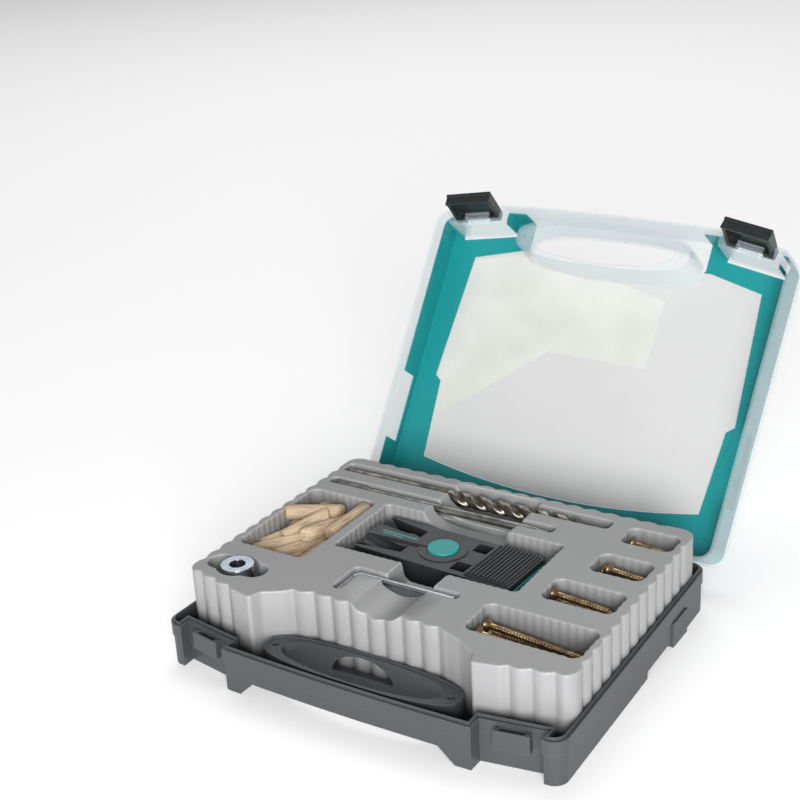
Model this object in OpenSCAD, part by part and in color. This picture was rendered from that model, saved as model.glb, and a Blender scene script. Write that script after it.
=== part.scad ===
// Joining kit for woodwork: a pocket-hole and dowel jig with its drill, bit,
// collar, key, dowels and screws, in a flat carrying case with a clear lid.
// Origin: middle of the case's underside. +X right, +Y to the hinge, +Z up.
// The lid stands open and both latches are swung out a little.

/* [Case] */
// Width of the case at its front corners
case_w = 260; // [256:1:264]
// Width of the case at its back corners
case_w_back = 253.4; // [252:0.2:256]
// Depth from the front of the handle to the back wall
case_d = 215; // [213:1:217]
// Height of the base's rim above the ground
rim_z = 27.3; // [26:0.1:28]
// Height of the closed case
closed_h = 59; // [58.5:0.1:62]
// Wall thickness of the lid
lid_wall = 1.4; // [1.2:0.1:1.6]
// Angle between the closed and the open lid
lid_open = 127; // [95:1:130]
// Angle the latches stand out from their closed position
latch_open = 13; // [13:1:90]

/* [Hand hole] */
// Half length of the ring wall round the hand hole
ring_a = 64; // [60:1:66]
// Half width of the ring wall round the hand hole
ring_b = 15.1; // [15:0.1:15.3]
// Half length of the hand hole
hole_a = 53; // [50:1:54]
// Half width of the hand hole
hole_b = 12.8; // [10:0.1:12.9]

/* [Tray] */
// Height of the tray's top face above the ground
tray_top = 54.5; // [53.5:0.1:55]
// Sheet thickness of the tray
tray_t = 1.2; // [1:0.1:1.5]

/* [Jig] */
// Length of the jig
jig_l = 114; // [112:1:116]
// Width of the jig
jig_w = 43.5; // [42:0.5:44]
// Height of the jig up to the ribs of its grip
jig_h = 30.8; // [30.5:0.1:31.5]
// Slope of the drill guides
guide_slope = 15; // [14:0.5:16]
// Distance between the two drill guides
guide_gap = 22; // [21:0.5:23]
// Inner diameter of the steel guide bushes
bush_bore = 9.7; // [9.6:0.1:9.9]
// Turn of the jig in its pocket
jig_turn = -3; // [-4:0.5:0]

/* [Tools and fixings] */
// Large diameter of the stepped drill
drill_d = 9.5; // [9:0.1:9.5]
// Diameter of the wooden dowels
dowel_d = 10; // [9:0.5:10]
// Across-flats size of the hex key
key_af = 3; // [2.5:0.1:3]
// Across-flats size of the driver bit's hex end
bit_af = 6.35; // [6.3:0.05:6.4]

/* [Hidden] */

shell_color = [0.25, 0.26, 0.27];
teal = [0.1, 0.55, 0.55];
zinc = [0.75, 0.76, 0.78];
brass = [0.8, 0.65, 0.35];
black = [0.14, 0.15, 0.15];

y_front = -case_d / 2;
y_back = case_d / 2;
corner_r = 9;
block_y = y_front + 9.8;       // front of the two corner blocks
recess_y = y_front + 14.8;     // wall behind each latch
recess_x0 = 81.5;              // latch recess, side next to the handle
recess_x1 = 118.2;             // latch recess, side next to the corner
recess_turn = 10;              // how far each recess is turned back at the corner
bow = 2;                       // how far the handle bows forward
base_wall = 2.6;
band_z = 19;                   // lower edge of the wider rim band
band_step = 0.8;
floor_t = 2.4;
ring_y = -84.8;                // centre line of the ring wall
hole_y = -85;
ring_power = 2.8;              // roundness of the ring's ends
hole_power = 2.2;              // and of the more pointed hole
notch_slant = 10;              // slant of the feet beside the handle
handle_x = 71;                 // half width of the raised part under the handle
handle_y = -70;
handle_z = 9.5;
ring_top = 26.4;
tongue_h = 1.5;

latch_x = (recess_x0 + recess_x1) / 2;
recess_rise = tan(recess_turn) * (recess_x1 - recess_x0) / 2;

hinge_y = y_back + 2;
hinge_z = rim_z;
knuckle_r = 2.4;
pin_r = 1.2;
hinge_x = 80;
hinge_half = 18;
knuckle_half = 7.7;
run_gap = 0.06;                // radial clearance of a running pin

lid_z = rim_z + 0.2;
lid_inner = closed_h - 1.6;
latch_w = 33.6;
latch_pin_y = recess_y - 4.3;
latch_pin_z = rim_z + 7;

// Points of a closed outline from the points of its right half, back to front
function both(right) = concat(right,
    [for (k = [len(right) - 1 : -1 : 0]) [-right[k][0], right[k][1]]]);
function arc(cx, cy, r, a0, a1, steps = 5) =
    [for (k = [0 : steps]) let (a = a0 + (a1 - a0) * k / steps) [cx + r * cos(a), cy + r * sin(a)]];

// Outline of the case, moved inwards by i
function case_outline(i = 0) = both(concat(
    arc(case_w_back / 2 - corner_r, y_back - corner_r, corner_r - i, 90, 0),
    arc(case_w / 2 - corner_r, block_y + corner_r, corner_r - i, 0, -90),
    [[recess_x1 + i, block_y + i],
     [recess_x1 + i, recess_y + recess_rise + i],
     [recess_x0 - i, recess_y - recess_rise + i]],
    [for (k = [6 : -1 : 1]) let (x = (recess_x0 - i) * k / 6)
        [x, y_front + i + bow * pow(k / 6, 2)]]));

// Points of a lens-like oval with half sizes a and b
function oval(a, b, power, steps = 48) = [for (k = [0 : steps - 1])
    let (t = 360 * k / steps, c = cos(t), s = sin(t))
    [a * sign(c) * pow(abs(c), 2 / power), b * sign(s) * pow(abs(s), 2 / power)]];

module case_prism(i, z0, z1) {
    translate([0, 0, z0]) linear_extrude(z1 - z0) polygon(case_outline(i));
}
module ring_prism(i, z0, z1) {
    translate([0, ring_y, z0]) linear_extrude(z1 - z0) polygon(oval(ring_a - i, ring_b - i, ring_power));
}
module hole_prism(i, z0, z1) {
    translate([0, hole_y, z0]) linear_extrude(z1 - z0) polygon(oval(hole_a + i, hole_b + i, hole_power));
}
// Box given by its two corners
module box(lo, hi) {
    translate(lo) cube(hi - lo);
}
module sides() {
    children();
    mirror([1, 0, 0]) children();
}
// Turns what belongs to the right latch to face squarely out of its recess
module at_recess() {
    translate([latch_x, recess_y, 0]) rotate([0, 0, recess_turn]) translate([-latch_x, -recess_y, 0]) children();
}
module x_rod(x0, x1, y, z, r) {
    translate([x0, y, z]) rotate([0, 90, 0]) cylinder(r = r, h = x1 - x0, $fn = 48);
}

// ---- base ----
module base_knuckles() {
    for (s = [-1, 1]) translate([s * hinge_x, 0, 0])
        for (x = [-hinge_half, knuckle_half + 0.3]) {
            x_rod(x, x + hinge_half - knuckle_half - 0.3, hinge_y, hinge_z, knuckle_r);
            box([x, y_back - 2, hinge_z - 8], [x + hinge_half - knuckle_half - 0.3, hinge_y, hinge_z]);
        }
}
module catch_block() {
    at_recess() difference() {
        box([90, recess_y - 5, 14], [110, recess_y + 1, 25]);
        box([93, recess_y - 3.9, 17], [107, recess_y - 0.6, 26]);
    }
}
// Room for the fingers under the handle, between the two front feet
module handle_notch() {
    translate([0, handle_y, 0]) rotate([90, 0, 0]) linear_extrude(handle_y - y_front + 5)
        polygon(both([[handle_x - notch_slant, handle_z], [handle_x, 0], [handle_x, -1]]));
}
module case_base() {
    color(shell_color) difference() {
        union() {
            difference() {
                union() {
                    case_prism(band_step, 0, band_z);
                    case_prism(0, band_z, rim_z);
                    case_prism(1.7, rim_z - 1, rim_z + tongue_h);
                }
                difference() {
                    case_prism(base_wall, floor_t, rim_z + 5);
                    box([-handle_x - 2, y_front, 0], [handle_x + 2, handle_y + 2, handle_z + 2]);
                    sides() box([120, 14, 0], [135, 55, 7]);
                }
                handle_notch();
                sides() box([122, 16, -1], [135, 53, 4.6]);
            }
            ring_prism(0, handle_z, ring_top);
            sides() catch_block();
            sides() box([case_w_back / 2 - 2, 53, 0], [case_w_back / 2 + 1.1, 74, 16]);
            base_knuckles();
        }
        difference() {
            ring_prism(2, handle_z + 2, ring_top - 2.6);
            hole_prism(1.8, handle_z, ring_top);
        }
        hole_prism(0, handle_z - 2, ring_top + 2);
        // The rim round the flange, and the arch in the wall behind the hole
        ring_prism(1, ring_top - 0.6, ring_top + 1);
        translate([-7.5, -68, handle_z + 2]) rotate([90, 0, 0]) linear_extrude(10)
            polygon([for (a = [0 : 15 : 180]) [20.5 * cos(a), 12.4 * sin(a)]]);
        for (s = [-1, 1]) {
            translate([s * hinge_x, 0, 0]) {
                x_rod(-hinge_half - 1, hinge_half + 1, hinge_y, hinge_z, pin_r);
                x_rod(-knuckle_half - 0.3, knuckle_half + 0.3, hinge_y, hinge_z, knuckle_r + 0.5);
            }
            translate([s * 58, ring_y, ring_top - 1.8]) cylinder(r = 2, h = 3, $fn = 24);
        }
    }
}

// ---- lid, drawn closed and then swung open ----
module lid_pose() {
    translate([0, hinge_y, hinge_z]) rotate([-lid_open, 0, 0])
        translate([0, -hinge_y, -hinge_z]) children();
}
module latch_blocks() {
    sides() at_recess() difference() {
        union() {
            box([latch_x - 9, latch_pin_y - 2, latch_pin_z - 4.4], [latch_x + 9, recess_y + 0.5, latch_pin_z]);
            box([latch_x - 9, latch_pin_y, latch_pin_z - 1], [latch_x + 9, recess_y + 0.5, latch_pin_z + 2]);
            x_rod(latch_x - 9, latch_x + 9, latch_pin_y, latch_pin_z, 2);
        }
        box([latch_x - 6, latch_pin_y + 1.9, latch_pin_z - 2.5], [latch_x + 6, recess_y - 0.8, latch_pin_z + 5]);
    }
}
module case_lid() {
    color([0.85, 0.93, 0.94, 0.6]) lid_pose() difference() {
        union() {
            difference() {
                case_prism(0, lid_z, closed_h);
                case_prism(lid_wall, lid_z - 1, lid_inner);
            }
            ring_prism(0, lid_z, closed_h);
            latch_blocks();
            for (s = [-1, 1]) translate([s * hinge_x, 0, 0]) {
                x_rod(-knuckle_half, knuckle_half, hinge_y, hinge_z, knuckle_r);
                box([-knuckle_half, y_back - 1, lid_z], [knuckle_half, hinge_y, lid_z + 6]);
            }
        }
        ring_prism(1.5, lid_z + 2, closed_h + 1);
        hole_prism(0, lid_z - 1, lid_z + 3);
        for (s = [-1, 1]) {
            translate([s * hinge_x, 0, 0]) {
                x_rod(-knuckle_half - 1, knuckle_half + 1, hinge_y, hinge_z, pin_r + run_gap);
                for (x = [-hinge_half - 0.5, knuckle_half + 0.1])
                    x_rod(x, x + hinge_half - knuckle_half + 0.4, hinge_y, hinge_z, knuckle_r + 0.5);
            }
            translate([s * 58, ring_y, lid_z - 1]) cylinder(r = 1.5, h = 4, $fn = 24);
        }
        sides() at_recess() x_rod(latch_x - 10, latch_x + 10, latch_pin_y, latch_pin_z, pin_r);
    }
}
// Half width of the grey sheet at the front, at the step, after it, and at the back
sheet_half = [107, 111.5, 106.5, 102.5];
sheet_y = [-74, 16.5, 20.5, 76];
sheet_bulge = 10;              // how far the back edge bows towards the hinge
sheet_t = 0.5;
function sheet_outline(g = 0) = both(concat(
    [for (k = [1 : 8]) [(sheet_half[3] + g) * k / 8, sheet_y[3] + g + sheet_bulge * (1 - pow(k / 8, 2))]],
    [[sheet_half[2] + g, sheet_y[2]],
     [sheet_half[1] + g, sheet_y[1]],
     [sheet_half[0] + g, sheet_y[0] - g],
     [70, -84]]));
module label_sheet() {
    color([0.85, 0.85, 0.85]) lid_pose() difference() {
        translate([0, 0, lid_inner - sheet_t - 0.1]) linear_extrude(sheet_t) polygon(sheet_outline());
        ring_prism(-1, 40, closed_h);
    }
}
liner_t = 0.7;
liner_gap = lid_wall + 0.3;
liner_z0 = 37;                 // lower edge of the liner's side walls, lid closed
module lid_liner() {
    color(teal) lid_pose() difference() {
        case_prism(liner_gap, liner_z0, lid_inner - 0.1);
        case_prism(liner_gap + liner_t, liner_z0 - 1, lid_inner - 0.1 - liner_t);
        translate([0, 0, liner_z0]) linear_extrude(closed_h) polygon(sheet_outline(0.3));
        ring_prism(-1, 40, closed_h);
        box([-ring_a - 2, y_front - 5, 30], [ring_a + 2, ring_y, closed_h]);
        sides() at_recess() box([recess_x0 - 2.5, y_front - 5, 30], [recess_x1 + 2.5, recess_y + 3, closed_h]);
        sides() box([115, 22, liner_z0 - 1], [140, 71, lid_inner - 6]);
    }
}

// ---- latches, drawn closed and then swung out ----
module latch_pose() {
    lid_pose() at_recess() translate([0, latch_pin_y, latch_pin_z]) rotate([-latch_open, 0, 0])
        translate([0, -latch_pin_y, -latch_pin_z]) children();
}
latch_tip = 20.6;              // from the pin to the hook
latch_wall = 2.4;
module latch_right() {
    x0 = latch_x - latch_w / 2;
    x1 = latch_x + latch_w / 2;
    z0 = latch_pin_z - latch_tip;
    z1 = latch_pin_z + 2.4;
    y1 = latch_pin_y + 2.4;
    color(black) latch_pose() difference() {
        union() {
            box([x0, latch_pin_y - 4.6, z0 - 2.6], [x1, latch_pin_y - 2.4, z1]);
            box([x0, latch_pin_y - 3, z0 - 1.6], [x1, y1 + 1, z0]);
            for (x = [x0, x1 - latch_wall]) box([x, latch_pin_y - 3, z0 - 1.6], [x + latch_wall, y1, z1]);
            for (x = [x0, x1 - 7.6]) box([x, latch_pin_y - 3, latch_pin_z - 3], [x + 7.6, y1, z1]);
        }
        x_rod(x0 - 1, x1 + 1, latch_pin_y, latch_pin_z, pin_r + run_gap);
    }
}
module latch_left() {
    mirror([1, 0, 0]) latch_right();
}
module latch_pin_right() {
    color(zinc) lid_pose() at_recess() x_rod(latch_x - latch_w / 2 + 1, latch_x + latch_w / 2 - 1, latch_pin_y, latch_pin_z, pin_r);
}
module latch_pin_left() {
    mirror([1, 0, 0]) latch_pin_right();
}
module hinge_pin_right() {
    color(zinc) x_rod(hinge_x - hinge_half, hinge_x + hinge_half, hinge_y, hinge_z, pin_r);
}
module hinge_pin_left() {
    mirror([1, 0, 0]) hinge_pin_right();
}

// ---- tray ----
tray_z0 = floor_t + 0.3;
function tray_outline(i = 0) = both(concat(
    arc(123.5 - 9, 98 - 9, 9 - i, 90, 0, 4),
    arc(126.3 - 8, -74 + 8 - 2.5, 8 - i, 0, -75, 4),
    [[77 - i, -87.5 + i],
     [72 - i, -87.5 + i],
     [68 - i, -80 + i],
     [57 - i, -72.5 + i],
     [45 - i, -68 + i]]));
module tray_prism(i, z0, z1) {
    translate([0, 0, z0]) linear_extrude(z1 - z0) polygon(tray_outline(i));
}
// Pockets: left, right, front, back and floor height
dowel_pocket = [-120, -71.5, -36.5, 45.5, 20];
jig_pocket = [-64.5, 60, -14, 47.5, 20];
drill_slot = [-119.5, 74, 77.5, 88.5, 42.5];
bit_slot = [-118, 46, 58.3, 66.3, 45.5];
screw_pockets = [
    [86.3, 119, 66.3, 86.7, 43.3],
    [84.3, 118, 27.5, 50, 40.5],
    [73.5, 118, -12.5, 11.5, 37],
    [52, 121.3, -60.5, -30.5, 34]];
key_slot_long = [-37, 34, -36, -30, 49.5];
key_slot_short = [-37, -31, -56, -31, 49.5];
collar_at = [-101, -61];
collar_floor = 43;
module pocket(p, g) {
    box([p[0] - g, p[2] - g, p[4] - g], [p[1] + g, p[3] + g, tray_top + 1]);
}
module pocket_set(g) {
    for (p = concat([dowel_pocket, jig_pocket, drill_slot, bit_slot, key_slot_long, key_slot_short], screw_pockets))
        pocket(p, g);
    translate([collar_at[0], collar_at[1], collar_floor - g]) {
        cylinder(r = 12 + g, h = 20, $fn = 60);
        box([-19 - g, -6.5 - g, 0], [19 + g, 6.5 + g, 20]);
    }
    // Finger channel to the front and the wider one to the back
    intersection() {
        translate([0, -12, tray_top + 10]) rotate([90, 0, 0]) cylinder(r = 17 + g, h = 60, $fn = 72);
        box([-20, -72, 40], [20, -12, tray_top + 1]);
    }
    intersection() {
        translate([-10, 90, tray_top + 21.5]) rotate([90, 0, 0]) cylinder(r = 33 + g, h = 44, $fn = 96);
        box([-45, 46, 40], [25, 90 + g, tray_top + 1]);
    }
}
module storage_tray() {
    color([0.6, 0.61, 0.62]) difference() {
        tray_prism(0, tray_z0, tray_top);
        // Room over the raised parts of the base's floor
        box([-handle_x - 2.3, y_front, 0], [handle_x + 2.3, handle_y + 2.3, handle_z + 2.3]);
        sides() box([119.7, 13.7, 0], [140, 55.3, 7.3]);
        difference() {
            tray_prism(tray_t, tray_z0 - 1, tray_top - tray_t);
            pocket_set(tray_t);
        }
        pocket_set(0);
    }
}

// ---- jig, in its own frame: origin under its middle, +X to the ribbed grip ----
jig_at = [-4, 19, 20.4];
jig_split = 12;
jig_deck = 28.5;
jig_low = 3;                   // corner radius of the jig
guide_z = 22;                  // height of the guides' axes at their mouth
guide_x = -21;
button_x = -3;
button_r = 9.7;
rail_z = [9, 15];
rail_half = 3.6;
module jig_pose() {
    translate(jig_at) rotate([0, 0, jig_turn]) children();
}
function rounded(l, w, r) = concat(arc(l / 2 - r, w / 2 - r, r, 90, 0, 4), arc(l / 2 - r, r - w / 2, r, 0, -90, 4),
    arc(r - l / 2, r - w / 2, r, -90, -180, 4), arc(r - l / 2, w / 2 - r, r, 180, 90, 4));
module slab(l, w, r, z0, z1) {
    translate([0, 0, z0]) linear_extrude(z1 - z0) polygon(rounded(l, w, r));
}
// Something on each guide's axis, with +Z along the axis towards its mouth
module on_guides() {
    for (s = [-1, 1]) translate([guide_x, s * guide_gap / 2, guide_z]) rotate([0, -90 + guide_slope, 0]) children();
}
module jig_cuts() {
    // Drill paths, bush seats and the open troughs that lead into them
    on_guides() translate([0, 0, -90]) cylinder(d = bush_bore, h = 140, $fn = 48);
    on_guides() translate([0, 0, -26]) cylinder(d = 13, h = 24, $fn = 48);
    // Chip windows
    for (s = [-1, 1]) box([12.5, s * 12.5 - 5, 8], [22.5, s * 12.5 + 5, jig_h + 1]);
    // Channel of the stop
    box([-32, -rail_half - 0.3, rail_z[0] - 0.3], [jig_l, rail_half + 0.3, rail_z[1] + 0.3]);
    for (x = [-44, 44], y = [-17.4, 17.4]) translate([x, y, 0]) {
        translate([0, 0, -1]) cylinder(r = 2.9, h = 4, $fn = 32);
        cylinder(r = 1.25, h = 19, $fn = 32);
    }
}
module jig_body() {
    color(black) jig_pose() difference() {
        union() {
            slab(jig_l - 4, jig_w, jig_low, jig_split, jig_deck);
            translate([button_x, 0, jig_deck - 1]) cylinder(r = 15.5, h = 1.8, $fn = 72);
            translate([-55, 0, jig_deck - 1]) linear_extrude(2.6) polygon([[0, -6.5], [42, -3], [42, 3], [0, 6.5]]);
        }
        jig_cuts();
        // The two wedge-shaped troughs
        for (s = [-1, 1]) translate([0, 0, guide_z - 4]) linear_extrude(20)
            polygon([[-24, s * 6.2], [-24, s * 15], [-56, s * 20], [-56, s * 17.5]]);
        translate([button_x, 0, 24]) cylinder(r = button_r + 0.3, h = 20, $fn = 72);
        translate([button_x, 0, 10]) cylinder(r = 3.3, h = 20, $fn = 36);
        box([24, -20, jig_deck - 0.8], [54, 20, jig_deck + 5]);
    }
}
module jig_base() {
    color(black) jig_pose() difference() {
        slab(jig_l - 4, jig_w, jig_low, 0, jig_split);
        jig_cuts();
    }
}
module jig_stop() {
    color(teal) jig_pose() difference() {
        union() {
            box([-24, -rail_half, rail_z[0]], [jig_l / 2 - 1, rail_half, rail_z[1]]);
            box([jig_l / 2 - 1.7, -18, 8], [jig_l / 2, 18, 25.5]);
        }
        for (k = [0 : 7]) box([-22 + 5 * k, -2.5, rail_z[1] - 1.2], [-19.5 + 5 * k, 2.5, rail_z[1] + 1]);
    }
}
module jig_button() {
    color(teal) jig_pose() translate([button_x, 0, 0]) {
        translate([0, 0, 27.5]) cylinder(r = button_r, h = 3.2, $fn = 72);
        translate([0, 0, 18]) cylinder(r = 3.2, h = 10, $fn = 36);
    }
}
spring_r = 5;
spring_wire = 0.3;
module button_spring() {
    turns = 3;
    per_turn = 10;
    n = turns * per_turn;
    sides_n = 6;
    function ring_points(k) = let (a = 360 * k / per_turn, z = 24.35 + 2.8 * k / n)
        [for (j = [0 : sides_n - 1]) let (b = 360 * j / sides_n, r = spring_r + spring_wire * cos(b))
            [r * cos(a), r * sin(a), z + spring_wire * sin(b)]];
    pts = [for (k = [0 : n]) each ring_points(k)];
    skin = [for (k = [0 : n - 1], j = [0 : sides_n - 1]) let (p = k * sides_n + j, q = k * sides_n + (j + 1) % sides_n)
        each [[p, q, q + sides_n], [p, q + sides_n, p + sides_n]]];
    ends = [[for (j = [sides_n - 1 : -1 : 0]) j], [for (j = [0 : sides_n - 1]) n * sides_n + j]];
    color(zinc) jig_pose() translate([button_x, 0, 0]) polyhedron(pts, concat(skin, ends));
}
module guide_bushes() {
    color(zinc) jig_pose() on_guides() translate([0, 0, -26]) difference() {
        cylinder(d = 13, h = 24, $fn = 48);
        translate([0, 0, -1]) cylinder(d = bush_bore, h = 26, $fn = 48);
    }
}
module jig_screws() {
    color(zinc) jig_pose() for (x = [-44, 44], y = [-17.4, 17.4]) translate([x, y, 0]) difference() {
        union() {
            translate([0, 0, 0.8]) cylinder(r = 2.7, h = 2.2, $fn = 32);
            translate([0, 0, 1]) cylinder(r = 1.25, h = 16, $fn = 32);
        }
        for (a = [0, 90]) rotate([0, 0, a]) box([-1.6, -0.3, 0], [1.6, 0.3, 1.8]);
    }
}
rib_n = 11;
module grip_pad() {
    color(black) jig_pose() {
        box([24.2, -19.8, jig_deck - 0.8], [53.8, 19.8, jig_deck + 1]);
        for (k = [0 : rib_n - 1]) let (x = 25 + 28 * (k + 0.5) / rib_n)
            box([x - 0.7, -19.2, jig_deck + 0.9], [x + 0.7, 19.2, jig_h]);
    }
}

// ---- loose tools ----
collar_z = 43.4;
module stop_collar() {
    color(zinc) translate([collar_at[0], collar_at[1], collar_z]) difference() {
        union() {
            cylinder(r = 8.8, h = 8, $fn = 72);
            translate([0, 0, 7.5]) cylinder(r = 10, h = 4.7, $fn = 72);
        }
        translate([0, 0, -1]) cylinder(r = 4.85, h = 20, $fn = 60);
        translate([0, 0, 4]) rotate([0, 90, 20]) cylinder(r = 2.5, h = 12, $fn = 36);
    }
}
module collar_screw() {
    color([0.3, 0.3, 0.32]) translate([collar_at[0], collar_at[1], collar_z + 4]) rotate([0, 90, 20]) difference() {
        translate([0, 0, 5.2]) cylinder(r = 2.5, h = 3.3, $fn = 36);
        translate([0, 0, 7]) cylinder(r = 1.3, h = 4, $fn = 6);
    }
}
key_z = 51.4;
key_bend = 4;
module hex_key() {
    rod = key_af / cos(30) / 2;
    color(zinc) translate([-34, -33, key_z]) {
        translate([key_bend, 0, 0]) rotate([0, 90, 0]) rotate([0, 0, 30]) cylinder(r = rod, h = 61, $fn = 6);
        translate([0, -key_bend, 0]) rotate([90, 0, 0]) rotate([0, 0, 30]) cylinder(r = rod, h = 17, $fn = 6);
        translate([key_bend, -key_bend, 0]) rotate([0, 0, 90]) rotate_extrude(angle = 90, $fn = 48)
            translate([key_bend, 0]) circle(r = rod, $fn = 6);
    }
}
drill_axis = [83, 49];
module step_drill() {
    color([0.6, 0.6, 0.58]) {
        x_rod(-117, -40, drill_axis[0], drill_axis[1], 4.2);
        x_rod(-40, 52, drill_axis[0], drill_axis[1], drill_d / 2);
        x_rod(52, 69, drill_axis[0], drill_axis[1], 2);
        translate([69, drill_axis[0], drill_axis[1]]) rotate([0, 90, 0]) cylinder(r1 = 2, r2 = 0.2, h = 2, $fn = 32);
    }
}
bit_axis = [62.3, 50.6];
module driver_bit() {
    color(zinc) {
        translate([-115, bit_axis[0], bit_axis[1]]) rotate([0, 90, 0])
            cylinder(r = bit_af / cos(30) / 2, h = 26, $fn = 6);
        x_rod(-90, 37, bit_axis[0], bit_axis[1], 2.6);
        translate([37, bit_axis[0], bit_axis[1]]) rotate([0, 90, 0]) cylinder(r1 = 2.6, r2 = 1.1, h = 5, $fn = 32);
    }
}

// Each dowel: its middle, its turn about Z and its length
dowel_len = 38;
dowel_step = dowel_d + 0.8;
dowel_z = [dowel_pocket[4] + dowel_d / 2 + 0.3, dowel_pocket[4] + dowel_d * 1.5 + 0.6,
    dowel_pocket[4] + dowel_d * 2.5 + 0.9];
dowel_rows = concat(
    [for (x = [0 : 3], y = [-15, 25]) [[-112.3 + dowel_step * x, y, dowel_z[0]], 90, dowel_len]],
    [for (k = [0 : 3]) [[-96, -26 + 12.5 * k, dowel_z[1]], 6 * k - 9, dowel_len]],
    [[[-103, -14, dowel_z[2]], 60, dowel_len], [[-90, -10, dowel_z[2]], 75, dowel_len]]);
module dowel(at, turn, l) {
    translate(at) rotate([0, 0, turn]) rotate([0, 90, 0]) translate([0, 0, -l / 2])
        cylinder(d = dowel_d, h = l, $fn = 32);
}
module dowels() {
    color([0.85, 0.68, 0.48]) for (d = dowel_rows) dowel(d[0], d[1], d[2]);
}

// A countersunk screw from its head at the origin along +X; dip lowers its tip
module wood_screw(l, d) {
    rotate([0, 90, 0]) {
        cylinder(r1 = d, r2 = d / 2 * 0.75, h = d * 0.6, $fn = 32);
        translate([0, 0, d * 0.5]) cylinder(r = d / 2, h = l - d * 1.5, $fn = 32);
        translate([0, 0, l - d * 1.05]) cylinder(r1 = d / 2, r2 = 0.3, h = d, $fn = 32);
    }
}
module screw_at(at, turn, dip, l, d) {
    translate(at) rotate([0, dip, turn]) wood_screw(l, d);
}
module screws_short() {
    color(brass) {
        screw_at([90, 79.5, 47.5], -4, 3, 25, 4);
        screw_at([90, 71, 47.5], 3, 3, 25, 4);
    }
}
module screws_medium() {
    color(brass) {
        screw_at([87, 44.5, 45.2], 0, 3, 27, 4.5);
        screw_at([87, 35, 45.2], 0, 3, 27, 4.5);
        screw_at([92.5, 39.75, 50.1], 0, 5, 24, 4.5);
    }
}
// Screws side by side on a floor, with one fewer lying in the gaps on top of them
module screw_bundle(x, y, z, n, step, rise, l, d) {
    for (row = [0, 1], k = [0 : n - 1 - row])
        screw_at([x, y - step * (k + row / 2), z + rise * row], 0, 2 + 3 * row, l, d);
}
module screws_long() {
    color(brass) screw_bundle(76, 6.5, 41.7, 2, 9.5, 7.9, 38, 4.5);
}
module screws_extra_long() {
    color(brass) screw_bundle(56, -36, 38.7, 3, 9.5, 7.9, 64, 4.5);
}

case_base();
case_lid();
lid_liner();
label_sheet();
hinge_pin_left();
hinge_pin_right();
latch_left();
latch_right();
latch_pin_left();
latch_pin_right();
storage_tray();
jig_body();
jig_base();
jig_stop();
jig_button();
button_spring();
guide_bushes();
jig_screws();
grip_pad();
stop_collar();
collar_screw();
hex_key();
step_drill();
driver_bit();
dowels();
screws_short();
screws_medium();
screws_long();
screws_extra_long();
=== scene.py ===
"""Looks of the joining kit: case, clear lid, formed tray, jig, tools and fixings.
Lengths below are millimetres in the part's own frame unless a line says otherwise."""

import math

import bmesh
import bpy
import numpy as np
from mathutils import Matrix, Vector
from mathutils.geometry import delaunay_2d_cdt


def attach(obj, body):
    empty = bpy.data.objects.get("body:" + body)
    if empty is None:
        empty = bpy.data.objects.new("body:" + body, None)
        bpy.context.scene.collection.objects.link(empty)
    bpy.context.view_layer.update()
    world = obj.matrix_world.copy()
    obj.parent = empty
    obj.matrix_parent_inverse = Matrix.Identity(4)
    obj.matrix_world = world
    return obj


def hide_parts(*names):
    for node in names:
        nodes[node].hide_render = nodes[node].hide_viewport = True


MM = 0.001
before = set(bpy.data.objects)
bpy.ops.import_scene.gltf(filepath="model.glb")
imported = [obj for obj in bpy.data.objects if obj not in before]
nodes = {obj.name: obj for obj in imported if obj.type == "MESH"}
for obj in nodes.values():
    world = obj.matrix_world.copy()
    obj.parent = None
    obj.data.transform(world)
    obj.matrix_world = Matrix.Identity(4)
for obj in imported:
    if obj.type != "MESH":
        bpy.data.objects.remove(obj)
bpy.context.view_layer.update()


def ease(a, b, x):
    """0 below a, 1 above b, and a smooth rise between them."""
    t = np.clip((np.asarray(x, float) - a) / (b - a), 0, 1)
    return t * t * (3 - 2 * t)


# ---------------------------------------------------------------- node trees

def add(tree, kind, values=None, **settings):
    """A node with its settings; values are constants or other nodes' outputs, by input name or number."""
    node = tree.nodes.new(kind)
    for key, value in settings.items():
        setattr(node, key, value)
    for key, value in (values or {}).items():
        socket = node.inputs[key]
        if isinstance(value, bpy.types.NodeSocket):
            tree.links.new(value, socket)
        else:
            socket.default_value = value
    return node


def new_group(name, kind, inputs, outputs):
    tree = bpy.data.node_groups.new(name, kind)
    for label, socket, value in inputs:
        made = tree.interface.new_socket(label, in_out="INPUT", socket_type=socket)
        if value is not None:
            made.default_value = value
    for label, socket in outputs:
        tree.interface.new_socket(label, in_out="OUTPUT", socket_type=socket)
    return tree, tree.nodes.new("NodeGroupInput").outputs, tree.nodes.new("NodeGroupOutput").inputs


def tone(r, g, b):
    """A linear colour from the 0 to 255 steps of a paint chart."""
    def line(c):
        c /= 255
        return c / 12.92 if c <= 0.04045 else ((c + 0.055) / 1.055) ** 2.4
    return (line(r), line(g), line(b), 1.0)


FLOAT, COLOUR, VECTOR = "NodeSocketFloat", "NodeSocketColor", "NodeSocketVector"


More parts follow.
